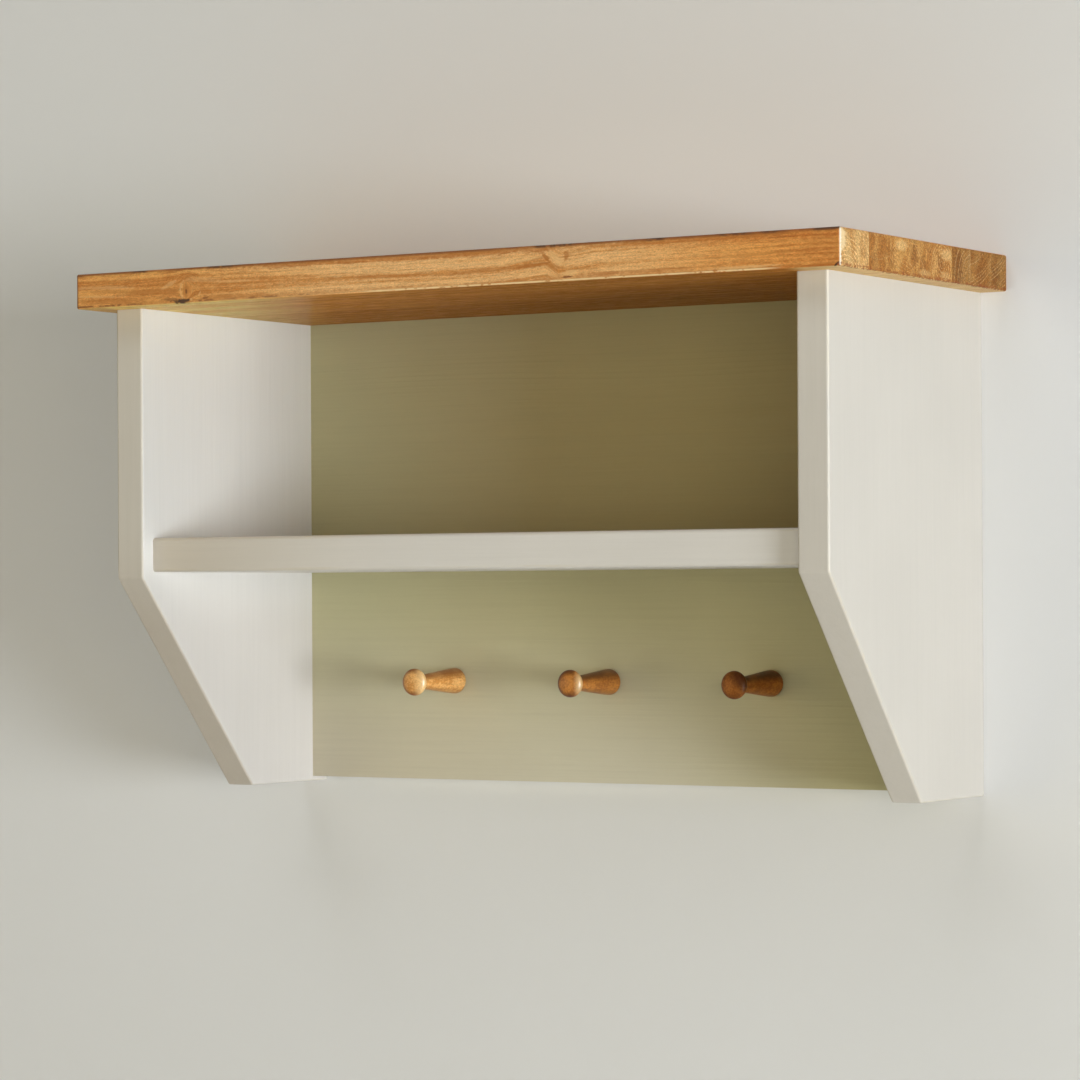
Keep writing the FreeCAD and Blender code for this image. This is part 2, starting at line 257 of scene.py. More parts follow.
# other marks of the front stave: place along and up, half size along and up, turn in degrees,
# colour, depth
MARKS = (
    (-0.2298, 0.0712, 0.0011, 0.0019, 8, UMBER, 0.85),
    (-0.2440, 0.0710, 0.0075, 0.0040, 0, AMBER, 0.40),
    (-0.2640, 0.0724, 0.0270, 0.0026, 1, AMBER, 0.62),
    (-0.2930, 0.0740, 0.0460, 0.0016, -1.9, AMBER, 0.40),
    (-0.3050, 0.0667, 0.0360, 0.0026, -1.9, AMBER, 0.50),
    (-0.3100, 0.0776, 0.0340, 0.0014, -2.2, STRAW, 0.40),
    (-0.3140, 0.0708, 0.0240, 0.0010, -2, STRAW, 0.35),
    (-0.2460, 0.0774, 0.0085, 0.0018, 22, STRAW, 0.45),
    (-0.2150, 0.0795, 0.0190, 0.0022, -3, STRAW, 0.30),
    (-0.1850, 0.0770, 0.0240, 0.0009, -1, STRAW, 0.40),
    (-0.2117, 0.0704, 0.0055, 0.0038, 0, AMBER, 0.28),
    (-0.2172, 0.0688, 0.0024, 0.0008, 50, STRAW, 0.50),
    (-0.1850, 0.0655, 0.0360, 0.0018, -1, AMBER, 0.45),
    (0.2620, 0.0648, 0.0300, 0.0010, 0.5, STRAW, 0.60),
    (-0.0450, 0.0735, 0.0450, 0.0014, -1.5, AMBER, 0.45),
    (0.0500, 0.0736, 0.0500, 0.0015, 2.6, AMBER, 0.50),
    (0.0860, 0.0748, 0.0150, 0.0017, 5, AMBER, 0.65),
    (0.0905, 0.0798, 0.0060, 0.0010, 8, AMBER, 0.50),
    (0.0800, 0.0792, 0.0170, 0.0008, 7.2, STRAW, 0.40),
    (0.1450, 0.0665, 0.0190, 0.0015, 0, AMBER, 0.45),
    (0.1850, 0.0662, 0.0560, 0.0019, 0.3, AMBER, 0.45),
    (0.2150, 0.0868, 0.1050, 0.0019, 0, AMBER, 0.42),
    (0.2750, 0.0735, 0.0480, 0.0012, 1.2, AMBER, 0.40),
    (0.1066, 0.0792, 0.0085, 0.0023, -42, STRAW, 0.55),
    (0.0985, 0.0801, 0.0050, 0.0018, -46, AMBER, 0.85),
    (0.1045, 0.0730, 0.0060, 0.0036, -30, AMBER, 0.34),
    (0.1155, 0.0808, 0.0026, 0.0038, 0, AMBER, 0.70),
    (0.1190, 0.0683, 0.0085, 0.0020, 4, STRAW, 0.60),
    (0.1162, 0.0652, 0.0044, 0.0007, 0, UMBER, 0.85),
    (0.3270, 0.0765, 0.0200, 0.0100, 0, AMBER, 0.30),
    (-0.2430, 0.0653, 0.0110, 0.0016, -5, UMBER, 0.55),
    (-0.2342, 0.0637, 0.0092, 0.0019, 0, SOOT, 0.97),
    (-0.2250, 0.0645, 0.0013, 0.0012, 0, STRAW, 0.65),
    (-0.2110, 0.0655, 0.0036, 0.0009, 10, UMBER, 0.60),
    (0.3358, 0.0635, 0.0027, 0.0009, 35, SOOT, 0.92),
)
# where the front stave's lines rise or dip: place, reach before and after it, rise
RISES = ((0.0985, 0.030, 0.004, 0.0038), (0.110, 0.004, 0.022, -0.0026))

# stretches along the board: start, end, softness of both
PALE_FRONT = (-0.17, 0.20, 0.10)
WIDE_WAX = (-0.165, 0.095, 0.02)
WORN_ARRIS = (-0.060, 0.285, 0.012)
# chips along the lower arris and soot along the upper one: start, end, softness, strength, and
# whether gaps break the stretch
CHIPS = (
    (-0.3380, -0.3210, 0.002, 1.0, False),
    (-0.3160, -0.2920, 0.002, 1.0, False),
    (-0.2880, -0.2730, 0.002, 0.8, False),
    (-0.2200, -0.2040, 0.002, 0.9, False),
    (-0.1900, -0.1050, 0.010, 0.8, True),
)
SOOTY = (
    (-0.3400, -0.3295, 0.002, 1.0, False),
    (-0.2820, -0.2690, 0.003, 1.0, False),
    (-0.2090, -0.1790, 0.004, 1.0, False),
    (0.0880, 0.1210, 0.004, 1.0, False),
    (0.1830, 0.1970, 0.003, 1.0, False),
    (0.2420, 0.2940, 0.004, 0.7, True),
    (0.3180, 0.3400, 0.003, 1.0, False),
)
# where the tinted right part of the face and the overhanging ends of the underside start and are
# fully reached
TINTED_PART = (0.16, 0.30)
RIGHT_OVERHANG = (0.29, 0.31)
LEFT_OVERHANG = (-0.307, -0.319)
# the border of the painted reflection at the underside's left front: start and end at the front edge, and how
# far it
#  shifts to the left per metre towards the wall
REFLECTION_BORDER = (-0.200, -0.095)
REFLECTION_SLANT = 0.61
# height of the wax band under the upper arris, and how much its wide stretch adds, then over which
# distances that band, the one above the lower arris and both of them behind the front fade out
WAX_BAND = 0.0028
WIDE_WAX_BAND = 0.0018
UPPER_WAX_REACH = (-0.0012, 0.0016)
LOWER_WAX_REACH = (0.0018, 0.0052)
DEEP_WAX_REACH = (0.0020, 0.0090)
# the middle of the worn line on the lower arris, behind the front and above the underside, and
# that of the reddish line on the right end, inward from the end and above the underside
WORN_BEHIND = 0.0004
WORN_ABOVE = 0.0010
RUST_INWARD = 0.0008
RUST_ABOVE = 0.0012
# the row of chips above the underside: start, end, softness of both
CHIP_ROW = (0.0009, 0.0021, 0.0005)
# over which distances from their arris, line or face these fade out
WORN_REACH = (0.0003, 0.0010)
CHIP_REACH = (0.0012, 0.0020)
MARK_REACH = (0.0014, 0.0026)
DARK_REACH = (0.0010, 0.0026)
SOOT_REACH = (0.0012, 0.0028)
LEFT_END_REACH = (0.0008, 0.0030)
RUST_REACH = (0.0010, 0.0022)
BLEACHED_LINE_REACH = (0.0010, 0.0024)
# the bleached band on the right end's front arris: heights above the underside between which it
# widens, its widths there, and the softness of its border
BLEACHED_RISE = (0.007, 0.016)
BLEACHED_WIDTHS = (0.0006, 0.0080)
BLEACHED_SOFTNESS = 0.0020

# pith across the board and up, ring width, tone and warmth of the end grain, clearness of its
# lines, seed
STAVES = (
    ((-0.262, 0.052), 0.0031, 0.92, 0.05, 0.55, 1.0),
    ((-0.212, 0.135), 0.0027, 0.77, 0.50, 0.20, 2.0),
    ((-0.150, 0.150), 0.0030, 0.81, 0.4, 0.25, 3.0),
    ((-0.190, 0.040), 0.0026, 0.77, 0.55, 0.35, 4.0),
    ((-0.112, 0.074), 0.0030, 0.81, 0.5, 0.50, 5.0),
    ((-0.050, 0.060), 0.0030, 0.56, 1.2, 0.80, 6.0),
    ((-0.075, 0.128), 0.0027, 0.58, 1.3, 0.75, 7.0),
    ((-0.046, 0.128), 0.0025, 0.52, 1.2, 0.85, 8.0),
)
# stains of the end grain, by stave: place across and up, reach across and up, how dark, or how
# light if negative
STAINS = {
    2: ((-0.221, 0.068, 0.007, 0.009, 0.35),),
    3: (
        (-0.178, 0.0835, 0.011, 0.0045, -0.75),
        (-0.192, 0.074, 0.004, 0.012, 0.45),
    ),
    4: (
        (-0.156, 0.078, 0.005, 0.010, 0.75),
        (-0.143, 0.072, 0.006, 0.008, 0.4),
        (-0.140, 0.066, 0.012, 0.003, -0.5),
    ),
    5: (
        (-0.1144, 0.0745, 0.0055, 0.0085, 0.75),
        (-0.104, 0.082, 0.010, 0.005, -0.7),
        (-0.106, 0.066, 0.010, 0.004, -0.4),
    ),
    6: (
        (-0.084, 0.0735, 0.009, 0.018, 0.85),
        (-0.064, 0.078, 0.004, 0.016, -0.45),
    ),
    7: ((-0.046, 0.070, 0.008, 0.010, 0.5),),
    8: ((-0.020, 0.074, 0.008, 0.012, 0.55),),
}


def bent_lines(s, x, z):
    """Height of the front stave's points, changed so that lines drawn by it run round the knot, and
    rise and dip at the branch."""
    lift = z
    for middle, before, after, rise in RISES:
        away = s.minus(x, middle)
        reach = s.over(away, s.fade(away, -0.002, 0.002, before, after))
        lift = s.minus(lift, s.times(s.calc("EXPONENT", s.times(reach, reach, -1.0)), rise))
    along = s.times(s.minus(x, KNOT_X), KNOT_HALF_Z / KNOT_HALF_X)
    across = s.minus(z, KNOT_Z)
    spread = (KNOT_SPREAD * KNOT_HALF_Z) ** 2
    distance = s.most(s.add(s.times(along, along), s.times(across, across)), spread)
    return s.minus(lift, s.times(across, s.over(spread, distance)))


def oval(s, x, z, ragged, middle_x, middle_z, half_x, half_z, degrees=0.0):
    """A turned oval on the front stave's face, with a ragged edge: 0 in its middle, 1 at its edge."""
    turn = math.radians(degrees)
    away = s.minus(x, middle_x)
    up = s.minus(z, middle_z)
    along = s.add(s.times(away, math.cos(turn) / half_x), s.times(up, math.sin(turn) / half_x))
    across = s.add(s.times(away, -math.sin(turn) / half_z), s.times(up, math.cos(turn) / half_z))
    return s.add(s.reach(along, across), ragged)


def knot_and_marks(s, x, y, z, face):
    """The knot, streaks and branch of the front stave's face."""
    plain = face
    ragged = s.swing(s.noise(MARK_EDGES, 1.0), 1.5)
    edge = oval(s, x, z, ragged, KNOT_X, KNOT_Z, KNOT_HALF_X, KNOT_HALF_Z)
    face = s.mix(s.fall(edge, 0.45, 1.25, KNOT_DEPTH), face, AMBER)
    at_left = s.fall(x, KNOT_X - 1.1 * KNOT_HALF_X, KNOT_X - 0.1 * KNOT_HALF_X)
    arc = s.times(s.window(edge, 1.15, 1.50, 0.20), at_left)
    face = s.mix(s.times(arc, KNOT_ARC), face, STRAW)
    for mark_x, mark_z, half_x, half_z, degrees, stain, depth in MARKS:
        edge = oval(s, x, z, ragged, mark_x, mark_z, half_x, half_z, degrees)
        face = s.mix(s.fall(edge, 0.55, 1.20, depth), face, stain)
    return s.mix(s.fade(s.minus(y, FRONT), *MARK_REACH), face, plain)


def wax_bands(s, x, y, z, face):
    """Wax gathered under the front stave's upper arris and over its lower one."""
    dots = s.noise(DOTS, 34.0)
    wavy = s.add(s.swing(s.noise(GAPS, 36.0), 0.0080), s.swing(dots, 0.0055))
    reach = s.add(WAX_BAND, s.times(s.window(x, *WIDE_WAX), WIDE_WAX_BAND))
    high = s.minus(s.minus(TOP, z), reach)
    upper = s.fall(s.add(high, wavy), *UPPER_WAX_REACH, 0.75)
    lower = s.fall(s.add(s.minus(z, UNDERSIDE), wavy), *LOWER_WAX_REACH, 0.50)
    lower = s.times(lower, s.fade(s.split(s.facing)[Z], -0.6, -0.3))
    waxed = s.times(s.most(upper, lower), s.fade(dots, 0.30, 0.60, 1.10, 0.75))
    waxed = s.times(waxed, s.fall(s.add(s.minus(y, FRONT), wavy), *DEEP_WAX_REACH))
    return s.mix(waxed, face, AMBER)


def stretches(s, x, rows, broken):
    """The strength of each listed stretch along the board, broken where its row says so."""
    parts = []
    for start, end, soft, strength, has_gaps in rows:
        part = s.times(s.window(x, start, end, soft), strength)
        parts.append(s.times(part, broken) if has_gaps else part)
    return s.add(*parts)


def front_wear(s, x, y, z, colour):
    """Soot, chips and worn lines along the front stave's arrises."""
    dots = s.noise(DOTS, 32.0)
    gaps = s.noise(GAPS, 38.0)
    depth = s.minus(y, FRONT)
    low = s.minus(z, UNDERSIDE)
    high = s.minus(TOP, z)

    # the lower arris is worn pale on the right and chipped on the left
    edge = s.reach(s.minus(depth, WORN_BEHIND), s.minus(low, WORN_ABOVE))
    worn = s.times(s.fall(edge, *WORN_REACH), s.window(x, *WORN_ARRIS))
    worn = s.times(worn, s.fade(dots, 0.32, 0.44), s.fade(gaps, 0.28, 0.42, 0.3, 1.0))
    colour = s.mix(s.times(worn, 0.95), colour, RUBBED_WAX)
    runs = stretches(s, x, CHIPS, s.fade(gaps, 0.44, 0.54))
    chips = s.times(s.window(low, *CHIP_ROW), s.fall(depth, *CHIP_REACH), runs, s.fade(dots, 0.40, 0.50))
    colour = s.mix(s.times(chips, 0.88), colour, UMBER)

    # the upper arris is dark nearly all along and sooty in places
    edge = s.reach(depth, high)
    near = s.times(s.fall(edge, *DARK_REACH), s.fade(gaps, 0.30, 0.52, 0.25, 0.70))
    colour = s.mix(near, colour, UMBER)
    places = s.least(stretches(s, x, SOOTY, s.fade(gaps, 0.40, 0.55)), 1.0)
    soot = s.times(s.fall(edge, *SOOT_REACH), places, s.fade(dots, 0.38, 0.50))
    colour = s.mix(s.times(soot, 0.80), colour, SMUDGE)
    left = s.fall(s.minus(x, LEFT_END), *LEFT_END_REACH)
    colour = s.mix(s.times(left, 0.85), colour, DARK_END)

    # the front arris of the right end is bleached, widest in its upper half
    rough_edge = s.add(depth, s.swing(dots, 0.0060))
    width = s.fade(low, *BLEACHED_RISE, *BLEACHED_WIDTHS)
    width = s.times(width, s.fade(high, 0.0010, 0.0040, 0.5, 1.0))
    share = s.fall(s.minus(rough_edge, width), -BLEACHED_SOFTNESS, BLEACHED_SOFTNESS)
    at_end = s.fade(x, RIGHT_END - 0.0009, RIGHT_END - 0.0002)
    colour = s.mix(s.times(share, at_end, 0.8), colour, BLEACHED)
    speckled = s.fade(dots, 0.34, 0.46, s.fade(low, 0.004, 0.016), 1.0)
    line = s.times(s.fall(rough_edge, *BLEACHED_LINE_REACH), speckled)
    return s.mix(s.times(line, at_end, 0.85), colour, BLEACHED_LINE)


def end_grain(s, y, z, late, number, tone, warmth, clearness, seed):
    """Thirsty end grain: stained ground, pale ring lines and coarse speckle."""
    fine = s.noise(grain(X, 300.0, 1500.0), seed + 21.0, roughness=0.65)
    coarse = s.noise(grain(X, 100.0, 520.0), seed + 23.0)
    patches = s.noise(END_PATCHES, seed + 25.0)
    light, dark = FRONT_END_GROUND if number == 1 else END_GROUND
    ground = s.mix(s.fade(patches, 0.38, 0.62, 0.0, 0.85), light, dark)
    for stain_y, stain_z, reach_y, reach_z, depth in STAINS.get(number, ()):
        spot = s.reach(s.over(s.minus(y, stain_y), reach_y), s.over(s.minus(z, stain_z), reach_z))
        spot = s.add(spot, s.swing(coarse, 1.2))
        stained = END_STAIN if depth > 0 else END_PALE
        ground = s.mix(s.fall(spot, 0.5, 1.15, abs(depth)), ground, stained)
    lines = s.times(s.fade(late, 0.30, 0.70), s.fade(coarse, 0.32, 0.50))
    ends = s.mix(s.times(lines, clearness), ground, END_LINES)
    ends = s.mix(warmth * 0.35, ends, END_WARM)
    speckle = s.times(s.fade(fine, 0.34, 0.66, 0.62, 1.34), s.fade(coarse, 0.35, 0.65, 0.84, 1.12))
    return s.shade(ends, s.times(speckle, tone)), fine


def underside(s, x, y, share, fibres):
    """Wood seen from below. Its left front is palest as a painted reflection of the lit left side, it is
    darker towards the right and towards the wall as painted shade, its right overhang is painted lit and its
    left overhang painted shaded.
    """
    # the lighter share is a painted reflection of the lit left side at the left front and painted light on
    # the right overhang
    slanting = s.add(x, s.times(s.minus(y, FRONT), REFLECTION_SLANT))
    painted_lit_share = s.add(s.fall(slanting, *REFLECTION_BORDER), s.fade(x, *RIGHT_OVERHANG, 0.0, 0.8))
    light = s.mix(painted_lit_share, BELOW_LIGHT, LIT_BELOW_LIGHT)
    dark = s.mix(painted_lit_share, BELOW_DARK, LIT_BELOW_DARK)
    below = s.shade(s.mix(share, light, dark), s.fade(fibres, 0.25, 0.75, 0.90, 1.08))
    # lighter towards the left as part of the painted reflection, darker towards the right and towards the
    # wall as painted shade
    tone = s.times(s.fade(x, -0.15, 0.10, 1.18, 0.96), s.fade(y, -0.26, -0.06, 1.10, 0.80))
    # painted light on the right overhang and painted shade on the left overhang
    below = s.mix(s.fade(x, *RIGHT_OVERHANG, 0.0, 0.35), s.shade(below, tone), LIT_BELOW_RIGHT_END)
    return s.mix(s.fade(x, *LEFT_OVERHANG, 0.0, 0.55), below, SHADED_BELOW_LEFT_END)


def waxed_pine(name, number, pith, width, tone, warmth, clearness, seed):
    """Honey-coloured waxed pine: broad streaks, fibres, a barely waxed underside with a painted reflection,
     painted light and painted shade, and thirsty end grain. The front stave has a knot, marks and worn
     arrises too."""
    is_front = number == 1
    s = Shader(name, (0.64, 0.32, 0.09), 0.45, Specular_IOR_Level=0.2, Coat_Weight=0.05, Coat_Roughness=0.3)
    x, y, z = s.split(s.place)
    place = s.join(x, y, bent_lines(s, x, z)) if is_front else s.place
    phase, late = growth_rings(s, place, X, pith, width, wander=0.010, shift=seed * 3.0)
    late = s.times(late, s.fade(ring_strength(s, phase, seed), 0.0, 1.0, 0.25, 1.0))
    streaks = s.noise(grain(X, 2.6, 150.0), seed + 13.0, roughness=0.55, place=place)
    threads = s.noise(grain(X, 14.0, 620.0), seed + 15.0, roughness=0.6, place=place)
    fibres = s.noise(grain(X, 60.0, 900.0), seed, roughness=0.6, place=place)
    speckle = s.noise(grain(X, 620.0, 1700.0), seed + 5.0, roughness=0.6, place=place)
    mottle = s.noise(grain(X, 260.0, 850.0), seed + 17.0, roughness=0.6, place=place)
    clouds = s.noise((7.0, 40.0, 60.0), seed + 9.0, detail=1.0, place=place)

    pale = s.times(s.window(x, *PALE_FRONT), s.fade(clouds, 0.2, 0.6, 0.6, 1.0))
    light = s.mix(pale, WAX_LIGHT, PALE_WAX_LIGHT)
    dark = s.mix(pale, WAX_DARK, PALE_WAX_DARK)
    share = s.add(
        s.fade(streaks, 0.40, 0.60, 0.0, 0.72),
        s.times(late, 0.22),
        s.fade(threads, 0.42, 0.62, -0.12, 0.20),
        s.fade(mottle, 0.34, 0.66, -0.22, 0.26),
    )
    share = s.limit(share)
    rough_grain = s.times(s.fade(fibres, 0.30, 0.70, 0.88, 1.10), s.fade(speckle, 0.32, 0.68, 0.82, 1.14))
    face = s.shade(s.mix(share, light, dark), rough_grain)
    face = s.mix(s.fade(x, *TINTED_PART), face, RIGHT_TINT, "MULTIPLY")
    downward = s.fall(s.split(s.facing)[Z], -0.9, -0.6)
    face = s.mix(s.times(downward, 0.92), face, underside(s, x, y, share, fibres))
    if is_front:
        face = knot_and_marks(s, x, y, z, wax_bands(s, x, y, z, face))

    ends, fine = end_grain(s, y, z, late, number, tone, warmth, clearness, seed)
    at_end = s.fade(s.size(s.split(s.facing)[X]), 0.55, 0.8)
    colour = s.mix(at_end, face, ends)
    # a low reddish line with gaps along the right end
    dots = s.noise(LINE_DOTS, seed + 31.0)
    end_low = s.reach(s.minus(x, RIGHT_END - RUST_INWARD), s.minus(z, UNDERSIDE + RUST_ABOVE))
    end_line = s.times(s.fall(end_low, *RUST_REACH), s.fade(dots, 0.44, 0.56))
    colour = s.mix(s.times(end_line, 0.7), colour, RUST)
    if is_front:
        colour = front_wear(s, x, y, z, colour)

    # the face below is planed smooth but hardly waxed
    rough = s.add(s.fade(fibres, 0.3, 0.7, 0.38, 0.50), s.times(at_end, 0.16), s.times(downward, -0.18))
    height = s.add(s.times(late, 0.4), fibres, s.times(threads, 0.5), s.times(at_end, fine, 2.0))
    s.bump(s.times(height, s.rest(s.times(downward, 0.9))), distance=0.00035, strength=0.45)
    gloss = s.add(0.002, s.times(0.198, s.rest(downward), s.rest(s.times(at_end, 0.75))))
    return s.finish(Base_Color=colour, Roughness=rough, Specular_IOR_Level=gloss)


# paints, in linear colour. The left side's lower paint, the right side's paint and the back panel's paints
# are darker or lighter copies of one paint, as painted shade and painted light
PAINT = (0.755, 0.750, 0.730)
SHADED_LOWER_PAINT = (0.620, 0.590, 0.565)
SHADED_RIGHT_PAINT = (0.568, 0.534, 0.485)
SHELF_PAINT = (0.770, 0.740, 0.700)
SHADED_BACK_PAINT = (0.567, 0.578, 0.318)
SHADED_MIDDLE_BACK_PAINT = (0.563, 0.533, 0.318)
SHADOWED_RIGHT_BACK_PAINT = (0.495, 0.460, 0.255)
LIT_LOWER_BACK_PAINT = (0.720, 0.680, 0.540)
# the tone that faces looking to the front go towards as painted shade at the left
FRONT_SHADE_TONE = (0.51, 0.420, 0.290)
UNDERCOAT = (0.70, 0.62, 0.46)
# over which stretch, from left to right, the painted shade on faces that look to the front fades out and
# their
#  painted light fades in
FRONT_SHADE_STRETCH = (-0.34, -0.02)
FRONT_LIGHT_STRETCH = (0.02, 0.32)
# over which distances the rubbing of the sides' and the shelf's arrises fades out
SIDE_RUBBING = (0.0013, 0.0020)
SHELF_RUBBING = (0.0020, 0.0030)


def side_arris(s):
    """How near a point of a side panel is to the arrises of its outline: 1 on them, 0 elsewhere."""
    x, y, z = s.split(s.place)
    # the slanting edge's normal, from its rise and its run
    run = -side_low.y - FOOT_DEPTH
    slope = math.hypot(CRANK_HEIGHT, run)
    behind_front = s.minus(y, side_low.y)
    above_crank = s.minus(z, side_low.z + CRANK_HEIGHT)
    behind_slant = s.add(s.times(behind_front, CRANK_HEIGHT / slope), s.times(above_crank, run / slope))
    edge = s.least(behind_front, behind_slant, s.minus(z, side_low.z))
    out = s.size(x)
    face = s.least(s.minus(out, side_low.x), s.minus(side_high.x, out))
    return s.fall(s.add(edge, face), *SIDE_RUBBING)


def shelf_arris(s):
    """The same for the front arrises of the shelf."""
    _, y, z = s.split(s.place)
    face = s.least(s.minus(z, shelf_low.z), s.minus(shelf_high.z, z))
    return s.fall(s.add(s.minus(y, shelf_low.y), face), *SHELF_RUBBING)


def painted_pine(
    name, colour, along, pith, seed, arris=None, telling=1.0, painted_shading=(), rear=None, front_shade=0.45, front_light=0.16
):
    """Eggshell paint brushed over pine, with the rings and fibres of the board faintly telling.
     Where painted shading is given, the colour goes over to another along an axis, from one place to another,
     as painted shade and painted light."""
    s = Shader(name, colour, 0.5, Specular_IOR_Level=0.16)
    phase, late = growth_rings(s, s.place, along, pith, width=0.0042, wander=0.016, shift=seed)
    late = s.times(late, s.fade(ring_strength(s, phase, seed), 0.3, 1.0))
    fibres = s.noise(grain(along, 14.0, 620.0), seed + 1.0, roughness=0.6)
    brush = s.noise(grain(along, 4.0, 170.0), seed + 2.0, roughness=0.65)
    clouds = s.noise(9.0, seed + 4.0, detail=1.0)
    speck = s.noise(900.0, seed + 6.0, detail=0.0)

    factor = s.add(
        s.fade(brush, 0.25, 0.75, 0.988, 1.010),
        s.fade(clouds, 0.3, 0.7, -0.014, 0.014),
        s.times(s.fade(fibres, 0.40, 0.75), -0.018 * telling),
        s.times(late, -0.008 * telling),
    )
    painted = colour
    # the stretches darken the paint as painted shade and lighten it as painted light, each along an axis
    for axis, start, end, second in painted_shading:
        painted = s.mix(s.fade(s.split(s.place)[axis], start, end), painted, second)
    if rear:
        painted = s.mix(s.fade(s.split(s.facing)[Y], 0.5, 0.9), painted, rear)
    # faces that look to the front are darkened towards the left as painted shade and may be lightened towards
    # the right as painted light
    x = s.split(s.place)[X]
    towards = s.fall(s.split(s.facing)[Y], -0.6, -0.3)
    painted = s.mix(s.times(towards, s.fall(x, *FRONT_SHADE_STRETCH, front_shade)), painted, FRONT_SHADE_TONE)
    painted_front_light = s.times(towards, s.fade(x, *FRONT_LIGHT_STRETCH, 0.0, front_light))
    painted = s.shade(painted, s.times(factor, s.add(1.0, painted_front_light)))
    if arris:
        # paint is thinnest on the arrises, where a little of the undercoat shows
        rubbing_and_highlight = s.times(arris(s), s.fade(clouds, 0.42, 0.62, 0.25, 1.0), s.fade(fibres, 0.3, 0.6))
        painted = s.mix(s.times(rubbing_and_highlight, 0.4), painted, UNDERCOAT)
    rough = s.add(s.fade(brush, 0.3, 0.7, 0.44, 0.56), s.times(speck, 0.05))
    wood = s.add(s.times(late, 0.25 * telling), s.times(fibres, 0.5 * telling))
    s.bump(s.add(wood, s.times(brush, 0.6), s.times(speck, 0.15)), distance=0.0004, strength=0.35)
    return s.finish(Base_Color=painted, Roughness=rough)


PORES = (0.30, 0.10, 0.020)
# the colour of the painted highlight on a peg's head
PAINTED_HIGHLIGHT = (0.98, 0.72, 0.36)
# from a peg's tip to where its head and neck meet, then the border of both and the dark line there
HEAD_LENGTH = 0.0101
HEAD_BORDER = (-0.0009, 0.0006)
NECK_LINE = (0.0003, 0.0022)
# the dark line at a peg's foot, from the back panel's front
FOOT_LINE = (-0.0035, -0.0002)
# the head's rim, darkened as painted shade, from the axis, and how far right of the axis it gets from its
# darkest to its palest
RIM = (0.0060, 0.0100)
RIM_PALING = (0.001, 0.0085)
# how far right of the axis, and from the axis, the painted highlight has reached its full strength
HIGHLIGHT_RIGHT = 0.0105
HIGHLIGHT_RADIUS = 0.0085
# the direction in which the right peg's head gets darker as painted shade, and over which distance
HEAD_SHADE_WAY = (0.75, 0.66)
HEAD_SHADE_REACH = (-0.001, 0.0075)
# the pith of the wood that a peg was turned from, across and up from the peg's axis
PEG_PITH = (0.013, -0.006)
# distance between the marks that the turning left
TURNING_PITCH = 0.0011
# each peg's wood, light and dark, and its stain where that has gathered, lightest on the left peg and darkest
# on the right
#  one as painted light and painted shade; coat and seed; how strong the painted highlight on the head's right
#  is, from how far right of the axis, and what share of that its middle gets; how strongly the head's upper
#  right is darkened as painted shade
PEGS = {
    "peg_left": {
        "colours_with_painted_light": ((0.92, 0.52, 0.180), (0.64, 0.27, 0.055), (0.28, 0.088, 0.016)),
        "coat": 0.45, "seed": 50.0,
        "rubbing_and_highlight": 0.58, "highlight_from": -0.0008, "highlight_middle": 0.6, "head_shade_strength": 0.0,
    },
    "peg_centre": {
        "colours_with_painted_light": ((0.60, 0.235, 0.040), (0.39, 0.128, 0.018), (0.12, 0.036, 0.007)),
        "coat": 0.45, "seed": 53.0,
        "rubbing_and_highlight": 0.58, "highlight_from": 0.0045, "highlight_middle": 0.0, "head_shade_strength": 0.0,
    },
    "peg_right": {
        "colours_with_painted_light": ((0.45, 0.160, 0.026), (0.28, 0.085, 0.012), (0.065, 0.019, 0.004)),
        "coat": 0.10, "seed": 57.0,
        "rubbing_and_highlight": 0.0, "highlight_from": 0.0, "highlight_middle": 0.0, "head_shade_strength": 0.75,
    },
}


